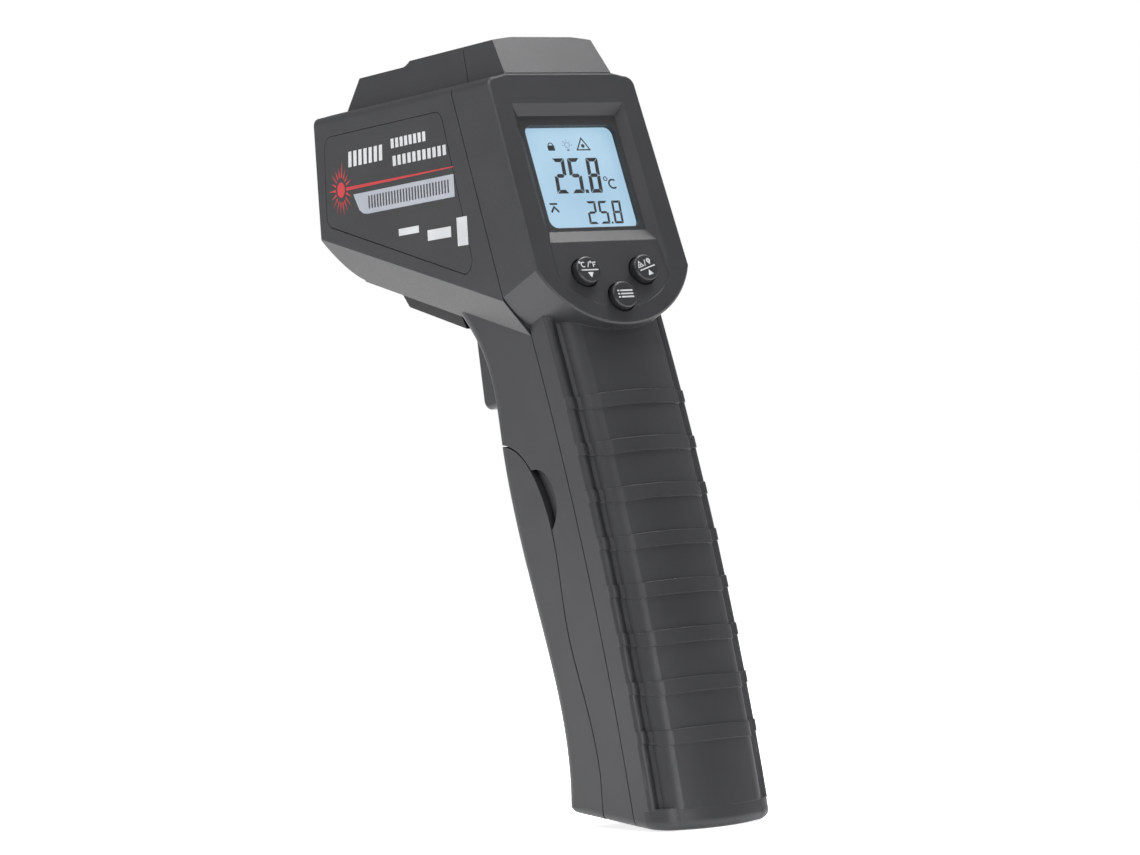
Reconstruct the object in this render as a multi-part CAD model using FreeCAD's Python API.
"""Pistol-grip infrared thermometer, millimetres.

+Z is up, the nose and its sensor point along -Y, the display faces +Y and +X is the user's left.
The sensor axis is level. The origin is under the middle of the model's box, on its lowest point.
The case is a front shell and a rear shell that meet on a surface parallel to the display.
"""
import FreeCAD, Part
import math
import os

V = FreeCAD.Vector
X_AXIS = V(1, 0, 0)

# ---------------------------------------------------------------- case
wall = 2.0
seam_gap = 0.30
seam_depth = 0.9
nose_y = -80.2
nose_edge_radius = 2.0
head_top_z = 167.0
head_half_top = 19.5
head_half_low = 20.3
head_shoulder_half = 14.4
head_corner = 2.2
band_slope = 0.275
band_crease_z = 138.2
band_drop = 8.8
band_inset = 5.8
nose_curve_height = 12.4
nose_curve_length = 11.0

# ---------------------------------------------------------------- display end
tilt = math.radians(19.3)
display_y = 5.5
display_z = 144.3
case_split = 15.0
rim_radius = 22.0
rim_centre_s = -15.0
rim_chamfer = 0.40
recess_half = 15.0
recess_top_s = 16.7
recess_depth = 2.0
recess_slope = 1.8
recess_side_run = 2.1
panel_top_s = -16.8
panel_depth = 0.8
window_width = 24.0
window_height = 25.0
window_radius = 2.0
window_centre_s = -0.35
window_lip = 1.5

# ---------------------------------------------------------------- ridge on the head
ridge_half_top = 13.2
ridge_half_low = 14.3
ridge_crown = 1.1
ridge_top_z = 176.4
ridge_front_z = 174.2
ridge_front_foot_y = -72.5
ridge_step_y = -44.5
ridge_rear_top_y = -9.2
ridge_rear_foot_y = -3.1

# ---------------------------------------------------------------- grip
grip_half = 15.6
grip_corner = 4.0
bend_z = 110.9
seam_bend_radius = 611.0
crest_out = 7.0
kink_out = 10.0
kink_half = 11.1
back_crown = 2.0
base_slope = 0.10
base_rear_y = 38.5
base_edge_radius = 1.8
plinth_height = 4.6
rib_count = 8
rib_pitch = 10.74
rib_height = 3.2
rib_out = 0.45
rib_turn = 1.2
rib_first_z = 91.2

# ---------------------------------------------------------------- battery, door and trigger
battery_size = (26.2, 17.2, 46.4)
battery_lean = math.radians(16.0)
battery_y = 4.9
battery_z = 50.6
door_gap = 0.30
door_top_z = 84.7
door_pivot_y = 13.2
door_pivot_z = 4.75
door_pin_radius = 0.9
door_heel = 3.4
notch_radius = 7.8
notch_depth = 1.5
trigger_half = 6.7
trigger_edge_radius = 1.0
trigger_clearance = 0.40
trigger_pivot_y = -19.0
trigger_pivot_z = 116.3
trigger_pin_radius = 1.25
pin_clearance = 0.06

# ---------------------------------------------------------------- labels, nose and screws
label_depth = 0.7
label_gap = 0.18
nose_bore = 9.0
laser_bore = 2.2
screw_shank = 1.15
screw_head = 2.2
boss_radius = 2.6

# ---------------------------------------------------------------- keys and electronics
key_radius = 3.15
key_clearance = 0.30
key_rise = 1.7
side_key_x = 7.6
side_key_s = -24.4
mode_key_s = -30.6
board_out = -10.6
board_thickness = 1.6
sensor_axis_z = 148.2
laser_axis_z = 160.6
tube_radius = 7.6

normal = V(0, math.cos(tilt), math.sin(tilt))
upward = V(0, -math.sin(tilt), math.cos(tilt))
display_origin = V(0, display_y, display_z)


def on_display(x, s, out):
    """Point at x across, s up and out above the plane of the display rim."""
    return display_origin + X_AXIS * x + upward * s + normal * out


def split_point(s):
    """Point on the case split, as (y, z), s up the display."""
    p = on_display(0, s, -case_split)
    return p.y, p.z


bend_s = (bend_z - display_z + case_split * math.sin(tilt)) / math.cos(tilt)
bend_y = split_point(bend_s)[0]
arc_y = bend_y - seam_bend_radius * math.cos(tilt)
arc_z = bend_z - seam_bend_radius * math.sin(tilt)


def back_y(out, z):
    """Y of the surface that lies out behind the case split, at height z on the grip."""
    r = seam_bend_radius + out
    return arc_y + math.sqrt(r * r - (z - arc_z) ** 2)


def base_z(y):
    return base_slope * (base_rear_y - y)


# ---------------------------------------------------------------- drawing helpers
def edges_of(start, steps):
    """Edges from start: a point is a line, (mid, end) an arc and a list of points a smooth curve."""
    edges = []
    here = start
    for step in steps:
        if isinstance(step, tuple):
            edges.append(Part.Arc(here, step[0], step[1]).toShape())
            here = step[1]
        elif isinstance(step, list):
            curve = Part.BSplineCurve()
            curve.interpolate([here] + step)
            edges.append(curve.toShape())
            here = step[-1]
        else:
            edges.append(Part.LineSegment(here, step).toShape())
            here = step
    if here.distanceToPoint(start) > 1e-6:
        edges.append(Part.LineSegment(here, start).toShape())
    return edges


def prism(start, steps, path):
    return Part.Face(Part.Wire(edges_of(start, steps))).extrude(path)


def yz(y, z, x=0.0):
    return V(x, y, z)


def side_prism(start, steps, half):
    """A side outline, drawn with yz, carried from -half to +half across."""
    solid = prism(start, steps, X_AXIS * (2 * half))
    solid.translate(X_AXIS * -half)
    return solid


def polygon_side(points, half):
    return side_prism(yz(*points[0]), [yz(*p) for p in points[1:]], half)


def box(x0, x1, y0, y1, z0, z1):
    return Part.makeBox(x1 - x0, y1 - y0, z1 - z0, V(x0, y0, z0))


def mirrored_box(x0, x1, y0, y1, z0, z1):
    return box(x0, x1, y0, y1, z0, z1).fuse(box(-x1, -x0, y0, y1, z0, z1))


def rod_x(y, z, radius, x0, x1):
    return Part.makeCylinder(radius, x1 - x0, V(x0, y, z), X_AXIS)


def rod_y(x, z, radius, y0, y1):
    return Part.makeCylinder(radius, y1 - y0, V(x, y0, z), V(0, 1, 0))


def display_rod(x, s, radius, out0, out1):
    return Part.makeCylinder(radius, out1 - out0, on_display(x, s, out0), normal)


def display_plate(width, height, radius, centre_s, out0, out1, centre_x=0.0):
    """A plate parallel to the display, with round corners where radius is not zero."""
    hw = width / 2
    hh = height / 2
    plate = prism(
        on_display(centre_x - hw, centre_s - hh, out0),
        [
            on_display(centre_x + hw, centre_s - hh, out0),
            on_display(centre_x + hw, centre_s + hh, out0),
            on_display(centre_x - hw, centre_s + hh, out0),
        ],
        normal * (out1 - out0),
    )
    if radius > 0:
        corners = [e for e in plate.Edges if abs(e.tangentAt(e.FirstParameter).dot(normal)) > 0.999]
        plate = plate.makeFillet(radius, corners)
    return plate


# ---------------------------------------------------------------- the case surfaces, inset by d
def head_tunnel(d):
    """Top and sides of the head, running fore and aft."""
    top = head_top_z - d
    shoulder = head_shoulder_half - 0.4 * d
    side_top = head_half_top - d
    side_low = head_half_low - d
    corner_z = top - 0.7
    c = head_corner
    y0 = nose_y - 5
    low_z = band_crease_z - 60

    def p(x, z):
        return V(x, y0, z)

    return prism(
        p(-shoulder, top),
        [
            p(shoulder, top),
            p(side_top - c, corner_z),
            (p(side_top - 0.29 * c, corner_z - 0.29 * c), p(side_top, corner_z - c)),
            p(side_low, band_crease_z - 18),
            p(side_low, low_z),
            p(-side_low, low_z),
            p(-side_low, band_crease_z - 18),
            p(-side_top, corner_z - c),
            (p(-side_top + 0.29 * c, corner_z - 0.29 * c), p(-side_top + c, corner_z)),
        ],
        V(0, 130, 0),
    )


def head_band(d):
    """Space above the sloping underside and its two slanted side bands."""
    length = math.hypot(band_drop, band_inset)
    nx = band_drop / length
    nz = band_inset / length
    crease_x = head_half_low - d * nx
    crease_z = band_crease_z + d * nz
    low_x = crease_x - band_inset
    low_z = crease_z - band_drop
    bottom_z = band_crease_z - band_drop + d
    low_x = low_x + (bottom_z - low_z) * band_inset / band_drop
    wide = 1.3
    out_x = low_x + band_inset * wide
    out_z = bottom_z + band_drop * wide

    def p(x, z):
        return V(x, nose_y, z)

    steps = [
        p(low_x, bottom_z),
        p(out_x, out_z),
        p(out_x, head_top_z + 40),
        p(-out_x, head_top_z + 40),
        p(-out_x, out_z),
    ]
    run = 120.0
    solid = prism(p(-low_x, bottom_z), steps, V(0, run, -run * band_slope))
    return solid


def head_side(d, face):
    """Side view of the head: nose, its curved chin and the display end, inset by face."""
    low_z = band_crease_z - 60
    chin_top = band_crease_z + 1.0
    nose = nose_y + d
    chin_y = nose + nose_curve_length
    chin_z = chin_top - nose_curve_height + d
    bulge = yz(nose + 0.27 * nose_curve_length, chin_top - 0.53 * nose_curve_height + 0.6 * d)
    rim_top = on_display(0, 60, -face)
    rim_low = on_display(0, (low_z - display_z + face * math.sin(tilt)) / math.cos(tilt), -face)
    return side_prism(
        yz(nose, head_top_z + 10),
        [
            yz(nose, chin_top),
            (bulge, yz(chin_y, chin_z)),
            yz(chin_y, low_z),
            yz(rim_low.y, low_z),
            yz(rim_top.y, rim_top.z),
            yz(rim_top.y, head_top_z + 10),
        ],
        40,
    )


def rim_prism(d):
    """Round-bottomed outline of the display end, carried in from the rim."""
    disc = Part.makeCylinder(rim_radius - d, 40, on_display(0, rim_centre_s, 5), normal * -1)
    block = display_plate(2 * (rim_radius - d), 80, 0, rim_centre_s + 40, -35, 5)
    return disc.fuse(block)


def rim_outline(out):
    """Sides and top of the display end, narrowing at 45 degrees as out grows."""
    grow = -rim_chamfer - out
    c = head_corner
    top_s = (head_top_z - display_z) / math.cos(tilt)
    drop = 0.7 / math.cos(tilt)
    centre_x = head_half_top - c
    centre_s = top_s - drop - c
    r = c + grow
    low_x = head_half_low + grow

    def p(x, s):
        return on_display(x, s, out)

    steps = [
        p(low_x, -25),
        p(head_half_top + grow, centre_s),
        (p(centre_x + 0.7071 * r, centre_s + 0.7071 * r), p(centre_x, centre_s + r)),
        p(head_shoulder_half, top_s + grow),
        p(-head_shoulder_half, top_s + grow),
        p(-centre_x, centre_s + r),
        (p(-centre_x - 0.7071 * r, centre_s + 0.7071 * r), p(-head_half_top - grow, centre_s)),
        p(-low_x, -25),
        p(-low_x, -60),
    ]
    return Part.Wire(edges_of(p(low_x, -60), steps))


def rim_taper():
    """Space inside the chamfer along the sides and top of the display rim."""
    return Part.makeLoft([rim_outline(-25), rim_outline(1)], True, True)


def rim_foot_taper():
    """Space inside the chamfer along the round foot of the display rim."""
    wide = rim_radius - rim_chamfer
    cone = Part.makeCone(wide + 25, wide - 1, 26, on_display(0, rim_centre_s, -25), normal)
    return cone.fuse(display_plate(120, 80, 0, rim_centre_s + 40, -25, 1))


def split_region(out, rear):
    """Everything behind (rear) or before the surface that lies out behind the case split."""
    r = seam_bend_radius + out
    foot_angle = math.asin((-12 - arc_z) / r)
    mid_angle = (foot_angle + tilt) / 2

    def arc(a):
        return yz(arc_y + r * math.cos(a), arc_z + r * math.sin(a))

    bend = arc(tilt)
    top = bend + upward * 90
    far = 90 if rear else -130
    return side_prism(
        yz(far, -12),
        [arc(foot_angle), (arc(mid_angle), bend), top, yz(far, top.z)],
        40,
    )


def revolve_section(start, steps, z_low, z_high):
    """A section drawn as (x, out) and swept along the bend of the grip."""
    r = seam_bend_radius
    a0 = math.asin((z_low - arc_z) / (r + crest_out))
    a1 = math.asin((z_high - arc_z) / (r + crest_out))

    def p(x, out):
        return V(x, arc_y + (r + out), arc_z)

    moved = []
    for step in steps:
        if isinstance(step[0], tuple):
            moved.append((p(*step[0]), p(*step[1])))
        else:
            moved.append(p(*step))
    face = Part.Face(Part.Wire(edges_of(p(*start), moved)))
    centre = V(0, arc_y, arc_z)
    face.rotate(centre, X_AXIS, math.degrees(a0))
    return face.revolve(centre, X_AXIS, math.degrees(a1 - a0))


def mirrored(steps):
    """The same outline steps on the other side, in reverse order."""
    flat = []
    for step in steps:
        if isinstance(step[0], tuple):
            flat.append(("arc", step[0]))
            flat.append(("end", step[1]))
        else:
            flat.append(("end", step))
    back = []
    flat.reverse()
    index = 1
    while index < len(flat):
        kind, point = flat[index]
        if kind == "arc":
            end = flat[index + 1][1]
            back.append(((-point[0], point[1]), (-end[0], end[1])))
            index += 2
        else:
            back.append((-point[0], point[1]))
            index += 1
    return back


def grip_back(d, z_low, z_high, lift=0.0):
    """Back of the grip: a rounded corner, a shallow groove beside it and a crowned panel."""
    w = grip_half - d
    crest = crest_out - d + lift
    kink = kink_out - d + lift
    inner = -45.0
    if d > 0:
        edge = (kink_half - 0.5 * d, kink)
        right = [(w, crest - 2.6), (w - 1.3, crest - 0.2), edge]
    else:
        edge = (w - 6.1, kink + 0.72)
        right = [
            (w, crest - 1.6),
            ((w - 0.45, crest - 0.3), (w - 1.5, crest - 0.05)),
            (w - 2.4, crest - 0.3),
            (w - 3.0, crest + 0.35),
            ((w - 4.05, kink - 0.6), edge),
        ]
    crown = ((0, kink + back_crown), (-edge[0], edge[1]))
    left = mirrored(right)
    return revolve_section((w, inner), right + [crown] + left + [(-w, inner)], z_low, z_high)


def plinth_back(z_low, z_high):
    """Plain rounded section of the foot of the grip."""
    w = grip_half
    right = [
        (w, crest_out - 2.6),
        ((w - 1.1, crest_out + 0.4), (kink_half - 0.6, kink_out + 0.05)),
    ]
    crown = ((0, kink_out + back_crown), (-kink_half + 0.6, kink_out + 0.05))
    left = mirrored(right)
    return revolve_section((w, -45.0), right + [crown] + left + [(-w, -45.0)], z_low, z_high)


def grip_side(d):
    """Side view of the grip: neck and door front, base with its front corner."""
    top_z = bend_z + 6
    return side_prism(
        yz(-31.2 + d, top_z),
        [
            [
                yz(-25.6 + d, 111.2),
                yz(-20.4 + d, 104.2),
                yz(-17.0 + d, 94.0),
                yz(-15.9 + d, 85.0),
                yz(-11.3 + d, 63.7),
                yz(-4.2 + d, 41.5),
                yz(0.5 + d, 24.5),
                yz(1.3 + d, base_z(1.3) + d),
            ],
            yz(60, base_z(60) + d),
            yz(60, top_z),
        ],
        grip_half - d,
    )


def front_edges(shape):
    """The two curved edges at the front corners of the grip."""
    return [e for e in shape.Edges if isinstance(e.Curve, Part.BSplineCurve)]


def grip(d, region):
    """The part of the grip that lies in region, with a plain foot under the moulded back."""
    side = grip_side(d)
    side = side.makeFillet(max(grip_corner - d, 1.0), front_edges(side))
    body = side.common(grip_back(d, -14, bend_z + 25))
    if d > 0:
        return body.common(region)
    foot = side.common(plinth_back(-14, plinth_height + 25))
    foot = foot.common(box(-40, 40, -60, 60, -12, plinth_height + 20))
    low_edges = [e for e in foot.Edges if e.CenterOfMass.z < base_z(e.CenterOfMass.y) + 0.2]
    foot = foot.makeFillet(base_edge_radius, low_edges)
    foot = foot.common(box(-40, 40, -60, 60, -12, plinth_height + 0.4))
    body = body.common(box(-40, 40, -60, 60, plinth_height, 200))
    return body.common(region).fuse(foot.common(region))


def ridge(d):
    """Ridge on top of the head, two levels joined by a soft step."""
    top = ridge_top_z - d
    low = head_top_z - 8
    half_top = ridge_half_top - d
    half_low = ridge_half_low - d
    edge_z = top - ridge_crown
    y0 = ridge_front_foot_y - 5

    def p(x, z):
        return V(x, y0, z)

    across = prism(
        p(-half_low, low),
        [
            p(half_low, low),
            p(half_low, head_top_z - 1),
            p(half_top, edge_z),
            (p(0, top), p(-half_top, edge_z)),
            p(-half_low, head_top_z - 1),
        ],
        V(0, 90, 0),
    )
    front = ridge_front_z - d
    step = ridge_step_y
    foot_z = head_top_z + 0.2
    drop = ridge_top_z - ridge_front_z
    mid = front + drop / 2
    along = side_prism(
        yz(ridge_front_foot_y + d, low),
        [
            yz(ridge_front_foot_y + d, foot_z),
            yz(ridge_front_foot_y + 5.1 + d, front),
            yz(step - 2.6, front),
            (yz(step - 0.9, front + 0.27 * drop), yz(step, mid)),
            (yz(step + 1.1, front + 0.76 * drop), yz(step + 2.7, top)),
            yz(ridge_rear_top_y - 9 - d, top),
            yz(ridge_rear_top_y - d, top - 0.4),
            yz(ridge_rear_foot_y - d, foot_z),
            yz(ridge_rear_foot_y - d, low),
        ],
        40,
    )
    return across.common(along)


def under_block():
    """Narrow block under the head, ahead of the trigger."""
    half = 9.0
    return polygon_side(
        [
            (-63.4, 125.0), (-62.4, 122.9), (-59.3, 119.4), (-34.9, 112.5), (-36.9, 115.8), (-37.5, 119.5),
            (-62.0, 127.0)
        ],
        half,
    )


def case_half(d, face, rear):
    """Outer body of one shell, inset by d, and by face at the display."""
    region = split_region(0, rear)
    head = head_tunnel(d).common(head_side(d, face)).common(region)
    if rear:
        head = head.common(rim_prism(d)).removeSplitter()
    else:
        head = head.common(head_band(d))
    if rear and face == 0:
        head = head.common(rim_taper()).common(rim_foot_taper())
    return head.fuse([grip(d, region), ridge(d).common(region)])


def case_body(d, face):
    return case_half(d, face, False).fuse(case_half(d, face, True))


def grip_frame(out, z):
    """Point, along-direction and outward direction on the back of the grip at height z."""
    y = back_y(out, z)
    angle = math.asin((z - arc_z) / (seam_bend_radius + out))
    return V(0, y, z), V(0, -math.sin(angle), math.cos(angle)), V(0, math.cos(angle), math.sin(angle))


def ribs():
    """Raised bands across the back of the grip, their ends turned up over the corners."""
    raised = grip_back(0, -14, bend_z + 25, rib_out)
    bands = []
    length = seam_bend_radius + kink_out
    first = math.asin((rib_first_z - arc_z) / length)
    for i in range(rib_count):
        z = arc_z + length * math.sin(first - i * rib_pitch / length)
        foot, along, outward = grip_frame(kink_out, z)
        foot = foot - outward * 6

        def p(x, up):
            return foot + X_AXIS * x + along * up

        edge = grip_half - 1.9
        wide = grip_half + 0.5
        band = prism(
            p(-kink_half, 0),
            [
                p(kink_half, 0),
                p(edge, rib_turn),
                p(wide, rib_turn + 0.3),
                p(wide, rib_height + 0.9),
                p(edge, rib_height + 0.7),
                p(kink_half, rib_height),
                p(-kink_half, rib_height),
                p(-edge, rib_height + 0.7),
                p(-wide, rib_height + 0.9),
                p(-wide, rib_turn + 0.3),
                p(-edge, rib_turn),
            ],
            outward * 12,
        )
        bands.append(band.common(raised))
    return bands


# ---------------------------------------------------------------- shared outlines and places
def door_outline(gap):
    """Side view of the battery door, grown by gap along its parting edge."""
    edge_y = door_pivot_y + door_heel + gap
    top = door_top_z + gap
    curve = [
        yz(-7.6 + gap, top - 1.6),
        yz(0.6 + gap, 74.6 + gap),
        yz(5.2 + gap, 62.0 + gap),
        yz(7.9 + gap, 43.0 + gap),
        yz(13.4 + gap, 26.0 + gap),
        yz(edge_y, 12.0),
    ]
    return side_prism(yz(-40, top), [yz(-14 + gap, top), curve, yz(edge_y, -8), yz(-40, -8)], 30)


def label_outline(grow):
    """Side view of the label field on the head, grown all round."""
    g = grow
    points = [
        (-75.2 - g, 161.0 + g), (-22.6 + g, 161.0 + g), (-11.4 + 1.3 * g, 122.5 - 1.3 * g),
        (-76.0 - g, 140.4 - g)
    ]
    field = polygon_side(points, 30)
    corners = [e for e in field.Edges if e.BoundBox.XLength > 50]
    return field.makeFillet(3.0 + g, corners)


def battery_point(across, front, up):
    """Point in the battery's own leaning frame, from its middle."""
    along = V(0, -math.sin(battery_lean), math.cos(battery_lean))
    back = V(0, math.cos(battery_lean), math.sin(battery_lean))
    return V(across, battery_y, battery_z) + back * front + along * up


def leaning_box(half_x, front0, front1, up0, up1):
    return side_prism(
        battery_point(0, front0, up0),
        [battery_point(0, front1, up0), battery_point(0, front1, up1), battery_point(0, front0, up1)],
        half_x,
    )


def leaning_rod(across, front, radius, up0, up1):
    along = V(0, -math.sin(battery_lean), math.cos(battery_lean))
    return Part.makeCylinder(radius, up1 - up0, battery_point(across, front, up0), along)


def tube_path(points, radius, bend):
    """Round wire through points, its corners rounded by bend."""
    edges = []
    here = points[0]
    for i in range(1, len(points) - 1):
        corner = points[i]
        before = (corner - here).normalize()
        after = (points[i + 1] - corner).normalize()
        turn = before.getAngle(after)
        cut = bend * math.tan(turn / 2)
        start = corner - before * cut
        end = corner + after * cut
        inward = (after - before).normalize()
        mid = corner + inward * (bend / math.cos(turn / 2) - bend)
        edges.append(Part.LineSegment(here, start).toShape())
        edges.append(Part.Arc(start, mid, end).toShape())
        here = end
    edges.append(Part.LineSegment(here, points[-1]).toShape())
    wire = Part.Wire(edges)
    first = (points[1] - points[0]).normalize()
    ring = Part.Wire(Part.Circle(points[0], first, radius).toShape())
    return wire.makePipeShell([ring], True, False)


key_places = {
    "key_left": (side_key_x, side_key_s),
    "key_right": (-side_key_x, side_key_s),
    "key_mode": (0.0, mode_key_s),
}
board_top_places = [(13.5, 18.4), (-13.5, 18.4)]
board_low_places = [(13.6, -22.0), (-13.6, -22.0)]
board_places = board_top_places + board_low_places
cavity_face = -(recess_depth + window_lip)
battery_half_x = battery_size[0] / 2
battery_half_y = battery_size[1] / 2
battery_half_z = battery_size[2] / 2
cell_clearance = 0.6
partition = 1.3
shelf_z = door_top_z + 1.0
tray_low_z = 31.0


def tray_y(z):
    """Front of the wall behind the battery at height z."""
    foot = battery_point(0, battery_half_y + cell_clearance, 0)
    return foot.y - (max(z, tray_low_z) - foot.z) * math.tan(battery_lean)


screw_high_z = shelf_z - 3.4
screw_low_z = 14.0
case_screws = [(9.0, screw_high_z), (-9.0, screw_high_z), (0.0, screw_low_z)]


# ---------------------------------------------------------------- shells
def battery_tray():
    """Wall behind the battery and shelf above it, moulded in the front shell."""
    top = shelf_z + partition
    back = polygon_side(
        [
            (tray_y(0), -2),
            (tray_y(0) + partition, -2),
            (tray_y(0) + partition, tray_low_z),
            (tray_y(top) + partition, top),
            (tray_y(top), top),
            (tray_y(tray_low_z), tray_low_z),
        ],
        20,
    )
    shelf = box(-20, 20, -30, tray_y(top) + partition, shelf_z, top)
    lead_slot = box(-4, 4, -3, 2.6, shelf_z - 1, top + 1)
    return back.fuse(shelf.cut(lead_slot)).common(grip(wall / 2, split_region(0, False)))


def hinge_arms():
    arms = []
    for side in (1, -1):
        x0, x1 = sorted((side * 6.6, side * 9.0))
        eye = rod_x(door_pivot_y, door_pivot_z, 1.8, x0, x1)
        bar = box(x0, x1, door_pivot_y, tray_y(0) + 0.5, door_pivot_z - 1.8, door_pivot_z + 1.8)
        arms.append(eye.fuse(bar))
    return arms


def trigger_slot():
    half = trigger_half + trigger_clearance
    return polygon_side(
        [(-36.2, 111.5), (-36.2, 121.0), (-12.0, 121.0), (-12.0, 94.4), (-42.0, 94.4), (-42.0, 111.5)],
        half,
    )


def tube_cradles(cavity):
    """Ribs that carry the sensor tube, and the block that holds the laser."""
    cradles = []
    for y in (nose_y + 14, nose_y + 30):
        rib = box(-17, 17, y, y + 1.5, 100, sensor_axis_z)
        cradles.append(rib.common(cavity).cut(rod_y(0, sensor_axis_z, tube_radius + 0.05, y - 1, y + 3)))
    block = box(-5.5, 5.5, nose_y + 9, nose_y + 12, laser_axis_z, head_top_z - 0.8)
    cradles.append(block.cut(rod_y(0, laser_axis_z, laser_radius + 0.05, nose_y, nose_y + 20)))
    return cradles


def trigger_bosses(cavity):
    bosses = []
    for side in (1, -1):
        x0, x1 = sorted((side * 9.9, side * 18.0))
        bosses.append(rod_x(trigger_pivot_y, trigger_pivot_z, 3.0, x0, x1).common(cavity))
    return bosses


def switch_rails(cavity):
    """Ledges behind the trigger switch board."""
    return mirrored_box(7.2, 16.0, -2.1, -0.8, 96.5, 112.0).common(cavity)


def nose_corners():
    """What is taken off the two upright edges of the nose to round them."""
    r = nose_edge_radius
    x = head_half_low - r
    block = box(x, x + r + 3, nose_y - 2, nose_y + r, band_crease_z - 10, head_top_z + 2)
    corner = block.cut(Part.makeCylinder(r, 90, V(x, nose_y + r, band_crease_z - 12)))
    return [corner, corner.mirror(V(0, 0, 0), X_AXIS)]


def front_shell(inner, near_wall, groove):
    shell = case_half(0, 0, False).cut(inner).fuse(under_block())
    additions = [battery_tray()] + tube_cradles(near_wall) + trigger_bosses(near_wall)
    additions.append(switch_rails(near_wall))
    shell = shell.fuse([a.common(split_region(0, False)) for a in additions])
    shell = shell.cut(door_outline(door_gap).common(box(-30, 30, -60, 40, -8, shelf_z - 0.1)))
    shell = shell.fuse(hinge_arms())
    notch_x = grip_half - notch_depth
    cuts = [
        groove,
        trigger_slot(),
        label_outline(label_gap).cut(head_tunnel(label_depth)),
        rod_y(0, sensor_axis_z, nose_bore, nose_y - 3, nose_y + wall + 1),
        rod_y(0, laser_axis_z, laser_bore, nose_y - 3, nose_y + wall + 1),
        rod_x(door_pivot_y, door_pivot_z, door_pin_radius + 0.02, -10, 10),
        rod_x(trigger_pivot_y, trigger_pivot_z, trigger_pin_radius + 0.02, -15.2, 15.2),
    ]
    for x0, x1 in ((notch_x, 20), (-20, -notch_x)):
        cuts.append(rod_x(-0.5, 71.3, notch_radius, x0, x1))
    for x, z in case_screws:
        cuts.append(rod_y(x, z, screw_shank + 0.1, tray_y(z) - 5, tray_y(z) + 5))
        cuts.append(rod_y(x, z, screw_head + 0.2, tray_y(z) - 5, tray_y(z)))
    for tool in cuts:
        shell = shell.cut(tool)
    for corner in nose_corners():
        shell = shell.cut(corner)
    return shell


def display_recess():
    """Sunken field round the window, its lower part sloping up to the key panel."""
    run_half = recess_half - recess_side_run
    rise_s = panel_top_s + recess_slope + 1.2
    panel_end_s = rim_centre_s - rim_radius + 4.0
    along = prism(
        on_display(-30, recess_top_s, 1),
        [
            on_display(-30, recess_top_s, 0),
            on_display(-30, recess_top_s - recess_slope - 0.5, -recess_depth),
            on_display(-30, rise_s, -recess_depth),
            on_display(-30, panel_top_s, -panel_depth),
            on_display(-30, panel_end_s, 0),
            on_display(-30, panel_end_s, 1),
        ],
        X_AXIS * 60,
    )
    across = prism(
        on_display(-recess_half, -60, 1),
        [
            on_display(-recess_half, -60, 0),
            on_display(-run_half, -60, -recess_depth),
            on_display(run_half, -60, -recess_depth),
            on_display(recess_half, -60, 0),
            on_display(recess_half, -60, 1),
        ],
        upward * 100,
    )
    disc = display_rod(0, rim_centre_s, rim_radius - 3.9, -5, 2)
    field = disc.fuse(display_plate(60, 60, 0, rim_centre_s + 30, -5, 2))
    return along.common(across).common(field)


def rear_shell(inner, near_wall, groove):
    shell = case_half(0, 0, True).cut(inner)
    shell = shell.cut(display_recess())
    bosses = []
    for x, s in board_places:
        bosses.append(display_rod(x, s, 2.2, board_out, cavity_face + 0.5))
    for x, z in case_screws:
        post = rod_y(x, z, boss_radius, tray_y(z - boss_radius) + partition + 0.05, tray_y(z) + 30)
        bosses.append(post.common(near_wall))
    shell = shell.fuse(bosses + ribs())
    cuts = [
        groove,
        display_plate(window_width, window_height, window_radius, window_centre_s, -12, 3),
    ]
    for x, s in key_places.values():
        cuts.append(display_rod(x, s, key_radius + key_clearance, -5, 3))
    for x, s in board_places:
        cuts.append(display_rod(x, s, screw_shank, board_out - 1, board_out + 5))
    for x, z in case_screws:
        cuts.append(rod_y(x, z, screw_shank, tray_y(z) - 5, tray_y(z) + 9))
    for tool in cuts:
        shell = shell.cut(tool)
    return shell.removeSplitter()


def side_label(side):
    field = label_outline(0).common(head_tunnel(0)).cut(head_tunnel(label_depth))
    half = box(0, 40, -120, 40, 90, 200) if side > 0 else box(-40, 0, -120, 40, 90, 200)
    return field.common(half)


# ---------------------------------------------------------------- battery door
def battery_door():
    region = split_region(0, False)
    skin = grip(0, region).cut(grip(wall, region)).common(door_outline(0))
    foot_z = door_pivot_z
    corner = box(-30, 30, door_pivot_y, door_pivot_y + 12, -8, foot_z)
    corner = corner.cut(rod_x(door_pivot_y, foot_z, door_heel, -31, 31))
    door = skin.cut(corner)
    for side in (1, -1):
        x0, x1 = sorted((side * 6.3, side * 9.3))
        door = door.cut(box(x0, x1, door_pivot_y - 3.0, door_pivot_y + 8, -3, door_pivot_z + 4))
        x0, x1 = sorted((side * 9.4, side * 12.8))
        door = door.fuse(rod_x(door_pivot_y, foot_z, 2.15, x0, x1))
    for z in (30.0, 50.0, 70.0):
        rib = box(-14.5, 14.5, -40, 30, z, z + 1.2)
        rib = rib.common(grip(wall / 2, region)).cut(grip(wall + 0.45, region))
        door = door.fuse(rib.common(door_outline(0)))
    door = door.cut(rod_x(door_pivot_y, foot_z, door_pin_radius + pin_clearance, -14, 14))
    return door.removeSplitter()


def door_hinge_pin():
    return rod_x(door_pivot_y, door_pivot_z, door_pin_radius, -12.6, 12.6)


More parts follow.
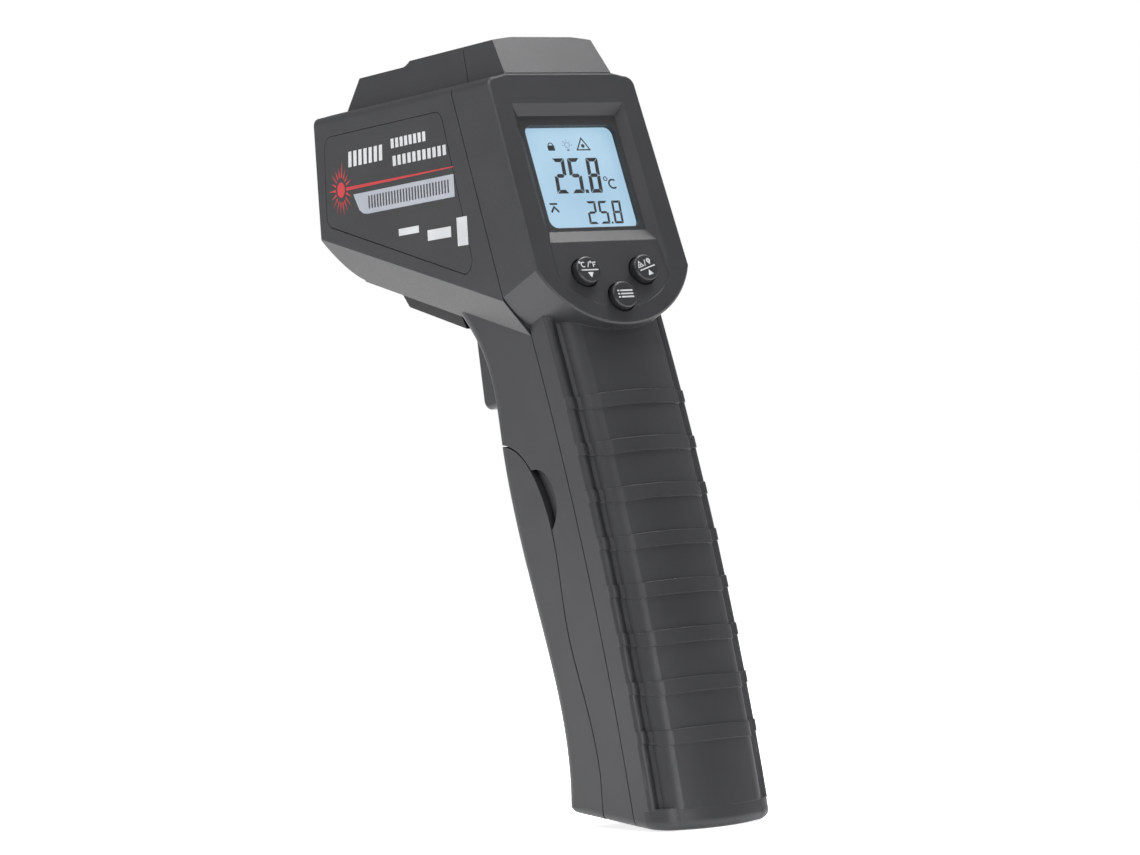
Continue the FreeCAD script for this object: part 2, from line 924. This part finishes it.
# ---------------------------------------------------------------- trigger
def trigger():
    body = side_prism(
        yz(-35.7, 114.8),
        [
            yz(-34.0, 96.0),
            (yz(-33.3, 94.3), yz(-31.4, 93.6)),
            yz(-20.0, 95.2),
            yz(-14.4, 97.3),
            yz(-14.4, 108.0),
            yz(-15.8, 113.6),
            yz(-16.0, 119.0),
            yz(-21.5, 119.4),
            yz(-35.0, 116.4),
        ],
        trigger_half,
    )
    front = [
        e for e in body.Edges
        if e.BoundBox.XLength < 1e-6 and e.BoundBox.YMax < -31.0 and e.BoundBox.ZMax < 115
    ]
    body = body.makeFillet(trigger_edge_radius, front)
    hub = rod_x(trigger_pivot_y, trigger_pivot_z, 3.2, -9.6, trigger_half)
    body = body.fuse(hub)
    body = body.cut(rod_x(trigger_pivot_y, trigger_pivot_z, trigger_pin_radius + pin_clearance, -12, 12))
    hook = rod_x(spring_leg_y, spring_leg_z, spring_wire + 0.08, 4.5, 9)
    return body.cut(hook).removeSplitter()


def trigger_pin():
    return rod_x(trigger_pivot_y, trigger_pivot_z, trigger_pin_radius, -15.0, 15.0)


spring_wire = 0.35
spring_radius = 2.15
spring_leg_y = trigger_pivot_y + spring_radius
spring_leg_z = 105.5


def trigger_spring():
    """Torsion spring beside the hub: three turns, one leg in the trigger and one free."""
    first = trigger_half + spring_wire + 0.15
    pitch = 2 * spring_wire + 0.02
    turns = []
    for i in range(3):
        centre = V(first + i * pitch, trigger_pivot_y, trigger_pivot_z)
        turns.append(Part.makeTorus(spring_radius, spring_wire + 0.02, centre, X_AXIS))
    top = V(first, spring_leg_y, trigger_pivot_z)
    leg = Part.makeCylinder(spring_wire, trigger_pivot_z - spring_leg_z, top, V(0, 0, -1))
    hook = rod_x(spring_leg_y, spring_leg_z, spring_wire, 5.0, first)
    tail_start = V(first + 2 * pitch, trigger_pivot_y, trigger_pivot_z + spring_radius)
    tail = Part.makeCylinder(spring_wire, 6.0, tail_start, V(0, 1, 0.1))
    return turns[0].fuse(turns[1:] + [leg, hook, tail]).removeSplitter()


def trigger_switch():
    body = box(-3.2, 3.2, -10.4, -3.3, 98.0, 111.0)
    plunger = rod_y(0, 104.5, 1.0, -12.3, -10.4)
    pins = [box(-0.4, 0.4, -3.3, -1.0, z - 0.25, z + 0.25) for z in (99.5, 104.5, 109.5)]
    return body.fuse([plunger] + pins).removeSplitter()


def trigger_board():
    board = box(-8.0, 8.0, -3.3, -2.2, 97.0, 112.0)
    for z in (99.5, 104.5, 109.5):
        board = board.cut(box(-0.5, 0.5, -4, -1, z - 0.35, z + 0.35))
    return board


# ---------------------------------------------------------------- keys and display
def key(x, s):
    cap = display_rod(x, s, key_radius, cavity_face - 0.5, key_rise)
    top = [e for e in cap.Edges if abs((e.CenterOfMass - display_origin).dot(normal) - key_rise) < 1e-6]
    cap = cap.makeFillet(0.55, top)
    flange = display_rod(x, s, key_radius + 0.75, cavity_face - 1.1, cavity_face - 0.3)
    stem = display_rod(x, s, 1.5, cavity_face - 5.1, cavity_face - 1.1)
    return cap.fuse([flange, stem]).removeSplitter()


def key_domes():
    """Rubber sheet with one dome under each key."""
    sheet = display_plate(22.0, 9.5, 0, side_key_s - 1.2, board_out, board_out + 0.6)
    sheet = sheet.fuse(display_plate(9.0, 8.0, 0, mode_key_s + 0.9, board_out, board_out + 0.6))
    domes = []
    for x, s in key_places.values():
        domes.append(Part.makeCone(3.0, 2.0, 0.9, on_display(x, s, board_out), normal))
    return sheet.fuse(domes).removeSplitter()


glass_back = cavity_face - 3.8
glass_width = 27.0
glass_height = 31.5
glass_centre_s = window_centre_s - 1.5
light_height = 26.0
light_centre_s = glass_centre_s + (glass_height - light_height) / 2


def display_window():
    return display_plate(
        window_width + 3, window_height + 3, 2.5, window_centre_s, cavity_face - 1.2, cavity_face
    )


def lcd_panel():
    front = display_plate(
        glass_width, glass_height - 2.5, 0, glass_centre_s + 1.25, glass_back + 1.15, glass_back + 2.3
    )
    back = display_plate(glass_width, glass_height, 0, glass_centre_s, glass_back, glass_back + 1.15)
    return front.fuse(back)


def backlight():
    return display_plate(glass_width, light_height, 0.8, light_centre_s, board_out, glass_back)


def display_frame():
    outer = display_plate(
        glass_width + 3.4, glass_height + 3.4, 1.5, glass_centre_s, board_out, cavity_face - 1.3
    )
    hole = display_plate(
        glass_width + 0.3, glass_height + 0.3, 0.5, glass_centre_s, board_out - 1, cavity_face + 1
    )
    return outer.cut(hole)


def contact_strips():
    """Two elastomer strips that join the glass to the board."""
    low = glass_centre_s - glass_height / 2
    strips = []
    for s in (low + 1.2, low + 3.7):
        strips.append(display_plate(24.0, 1.6, 0, s, board_out, glass_back))
    return Part.makeCompound(strips)


def main_board():
    plate = display_plate(33.0, 38.0, 1.0, 1.0, board_out - board_thickness, board_out)
    low = display_rod(0, rim_centre_s, 17.8, board_out - board_thickness, board_out)
    low = low.common(display_plate(60, 30, 0, rim_centre_s - 15, board_out - 3, board_out + 1))
    board = plate.fuse(low).removeSplitter()
    for x, s in board_places:
        board = board.cut(display_rod(x, s, screw_shank + 0.1, board_out - 5, board_out + 1))
    return board


board_back = board_out - board_thickness


def board_parts():
    """Controller, connector and passive parts on the back of the main board."""
    parts = [
        display_plate(10.0, 10.0, 0.4, -4.0, board_back - 1.4, board_back),
        display_plate(9.0, 4.5, 0, -16.0, board_back - 3.2, board_back, 7.0),
        display_plate(6.0, 4.5, 0, -16.0, board_back - 3.2, board_back, -8.0),
        display_plate(4.0, 2.6, 0, 4.5, board_back - 1.6, board_back, 10.5),
    ]
    for i in range(4):
        parts.append(display_plate(1.6, 0.9, 0, 1.0 - 2.2 * i, board_back - 0.6, board_back, -11.0))
        parts.append(display_plate(1.6, 0.9, 0, -1.0 - 2.2 * i, board_back - 0.6, board_back, 11.0))
    return Part.makeCompound(parts)


def buzzer():
    body = display_rod(-7.5, 11.0, 4.8, board_back - 5.0, board_back)
    return body.cut(display_rod(-7.5, 11.0, 0.9, board_back - 6, board_back - 4.2))


# ---------------------------------------------------------------- optics in the nose
lens_y = nose_y + 7.2
tube_back_y = nose_y + 38.0
laser_radius = 3.2


def turned_y(points, z):
    """Body of revolution about a fore-and-aft axis, from (radius, y) points."""
    start = V(points[0][0], points[0][1], z)
    steps = [V(r, y, z) for r, y in points[1:]]
    face = Part.Face(Part.Wire(edges_of(start, steps)))
    return face.revolve(V(0, 0, z), V(0, 1, 0), 360)


def nose_cone():
    """Insert in the nose: a funnel in front of the sensor lens, held by a trimmed flange."""
    fit = nose_bore - 0.05
    inner_y = nose_y + wall + 0.05
    funnel = turned_y(
        [
            (fit - 0.7, nose_y),
            (fit, nose_y),
            (fit, inner_y + 1.4),
            (7.4, lens_y),
            (5.4, lens_y),
            (5.4, lens_y - 0.6),
        ],
        sensor_axis_z,
    )
    flange = box(-11.0, 11.0, inner_y, inner_y + 1.4, band_crease_z + 1.1, laser_axis_z - 3.4)
    flange = flange.cut(rod_y(0, sensor_axis_z, fit - 0.6, inner_y - 1, inner_y + 3))
    return funnel.fuse(flange).removeSplitter()


def sensor_lens():
    return rod_y(0, sensor_axis_z, 6.4, lens_y + 0.05, lens_y + 1.25)


def sensor_tube():
    return turned_y(
        [
            (6.5, lens_y + 0.05),
            (tube_radius, lens_y + 0.05),
            (tube_radius, tube_back_y),
            (4.6, tube_back_y),
            (4.6, tube_back_y - 1.6),
            (6.5, tube_back_y - 1.6),
        ],
        sensor_axis_z,
    )


def infrared_sensor():
    can = rod_y(0, sensor_axis_z, 4.1, tube_back_y - 4.2, tube_back_y - 0.8)
    rim = rod_y(0, sensor_axis_z, 4.5, tube_back_y - 0.8, tube_back_y)
    legs = []
    for i in range(4):
        a = math.radians(45 + 90 * i)
        legs.append(
            rod_y(2.5 * math.cos(a), sensor_axis_z + 2.5 * math.sin(a), 0.22, tube_back_y, tube_back_y + 2.2)
        )
    return can.fuse([rim] + legs).removeSplitter()


def sensor_board():
    board = rod_y(0, sensor_axis_z, 8.6, tube_back_y + 0.05, tube_back_y + 1.25)
    for i in range(4):
        a = math.radians(45 + 90 * i)
        board = board.cut(
            rod_y(2.5 * math.cos(a), sensor_axis_z + 2.5 * math.sin(a), 0.3, tube_back_y - 1, tube_back_y + 3)
        )
    return board


def laser_module():
    body = rod_y(0, laser_axis_z, laser_radius, nose_y + 4.0, nose_y + 20.0)
    body = body.cut(rod_y(0, laser_axis_z, 1.3, nose_y + 3.0, nose_y + 6.0))
    board = box(-2.4, 2.4, nose_y + 20.0, nose_y + 26.0, laser_axis_z - 0.5, laser_axis_z + 0.5)
    return body.fuse(board)


def laser_window():
    return rod_y(0, laser_axis_z, laser_bore + 0.9, nose_y + wall + 0.02, nose_y + wall + 0.9)


# ---------------------------------------------------------------- battery and leads
def battery():
    cell = leaning_box(battery_half_x, -battery_half_y, battery_half_y, -battery_half_z, battery_half_z)
    along = V(0, -math.sin(battery_lean), math.cos(battery_lean))
    corners = [e for e in cell.Edges if abs(e.tangentAt(e.FirstParameter).dot(along)) > 0.999]
    cell = cell.makeFillet(1.8, corners)
    plus = leaning_rod(6.35, 0, 2.9, battery_half_z, battery_half_z + 2.2)
    minus = leaning_rod(-6.35, 0, 3.9, battery_half_z, battery_half_z + 2.2)
    return cell.fuse([plus, minus])


def battery_clip():
    z0 = battery_half_z + 0.1
    clip = leaning_box(12.0, -5.6, 5.6, z0, z0 + 4.4)
    cups = [leaning_rod(6.35, 0, 3.1, z0 - 1, z0 + 2.3), leaning_rod(-6.35, 0, 4.1, z0 - 1, z0 + 2.3)]
    for cup in cups:
        clip = clip.cut(cup)
    return clip


def battery_leads():
    """Two wires from the battery clip, behind the switch board, to the main board."""
    wires = []
    for x in (-1.6, 1.6):
        start = battery_point(x, 0, battery_half_z + 5.2)
        end = on_display(x + 7, -18.6, board_back - 1.8)
        points = [start, V(x, 0.6, 82.0), V(x, 0.6, 96.0), V(x + 7, 0.6, end.z - 6), end]
        wires.append(tube_path(points, 0.6, 2.2))
    return Part.makeCompound(wires)


def sensor_leads():
    wires = []
    for i in range(3):
        x = -9.0 + 1.5 * i
        start = V(x + 4.5, tube_back_y + 1.4, sensor_axis_z - 5.0)
        end = on_display(x, -15.0, board_back - 3.3)
        points = [start, V(x + 4.5, tube_back_y + 9, sensor_axis_z - 7), V(x, end.y - 8, end.z - 1), end]
        wires.append(tube_path(points, 0.45, 4.0))
    return Part.makeCompound(wires)


def laser_leads():
    wires = []
    for x in (-1.2, 1.2):
        start = V(x, nose_y + 26.1, laser_axis_z)
        end = on_display(10.5 + x, 4.5, board_back - 1.7)
        points = [start, V(x, nose_y + 38, laser_axis_z), V(10.5 + x, end.y - 9, end.z - 2), end]
        wires.append(tube_path(points, 0.4, 4.0))
    return Part.makeCompound(wires)


# ---------------------------------------------------------------- fasteners
def screw(place, direction, length):
    """Pan-head screw, its head under place and its shank along direction."""
    shank = Part.makeCylinder(screw_shank - 0.05, length, place, direction)
    head = Part.makeCylinder(screw_head, 1.4, place - direction * 1.4, direction)
    cross = Part.makeCylinder(0.9, 0.8, place - direction * 1.4, direction)
    return head.fuse(shank).cut(cross)


def case_screw_set():
    screws = []
    for x, z in case_screws:
        screws.append(screw(V(x, tray_y(z), z), V(0, 1, 0), 8.0))
    return Part.makeCompound(screws)


def board_screw_set():
    return Part.makeCompound([screw(on_display(x, s, board_back), normal, 5.5) for x, s in board_places])


# ---------------------------------------------------------------- build
def build():
    inner = case_body(wall, -cavity_face)
    near_wall = case_body(wall / 2, wall / 2)
    skin = case_body(seam_depth, seam_depth)
    half = seam_gap / 2
    groove = split_region(-half, True).common(split_region(half, False)).cut(skin)
    nodes = {
        "front_shell": front_shell(inner, near_wall, groove),
        "rear_shell": rear_shell(inner, near_wall, groove),
        "side_label_left": side_label(1),
        "side_label_right": side_label(-1),
        "battery_door": battery_door(),
        "door_hinge_pin": door_hinge_pin(),
        "trigger": trigger(),
        "trigger_pin": trigger_pin(),
        "trigger_spring": trigger_spring(),
        "trigger_switch": trigger_switch(),
        "trigger_board": trigger_board(),
        "key_domes": key_domes(),
        "display_window": display_window(),
        "lcd_panel": lcd_panel(),
        "backlight": backlight(),
        "display_frame": display_frame(),
        "contact_strips": contact_strips(),
        "main_board": main_board(),
        "board_parts": board_parts(),
        "buzzer": buzzer(),
        "nose_cone": nose_cone(),
        "sensor_lens": sensor_lens(),
        "sensor_tube": sensor_tube(),
        "infrared_sensor": infrared_sensor(),
        "sensor_board": sensor_board(),
        "laser_module": laser_module(),
        "laser_window": laser_window(),
        "battery": battery(),
        "battery_clip": battery_clip(),
        "battery_leads": battery_leads(),
        "sensor_leads": sensor_leads(),
        "laser_leads": laser_leads(),
        "case_screws": case_screw_set(),
        "board_screws": board_screw_set(),
    }
    for name, (x, s) in key_places.items():
        nodes[name] = key(x, s)
    return nodes


def main():
    os.makedirs("parts", exist_ok=True)
    nodes = build()
    case = Part.makeCompound([nodes["front_shell"], nodes["rear_shell"], nodes["battery_door"]])
    extent = case.optimalBoundingBox(False, False)
    origin = V(0, (extent.YMin + extent.YMax) / 2, extent.ZMin)
    for name, shape in nodes.items():
        shape.translate(-origin)
        shape.exportStep("parts/" + name + ".step")
        print(name, len(shape.Solids), round(shape.Volume, 1), shape.isValid())


main()
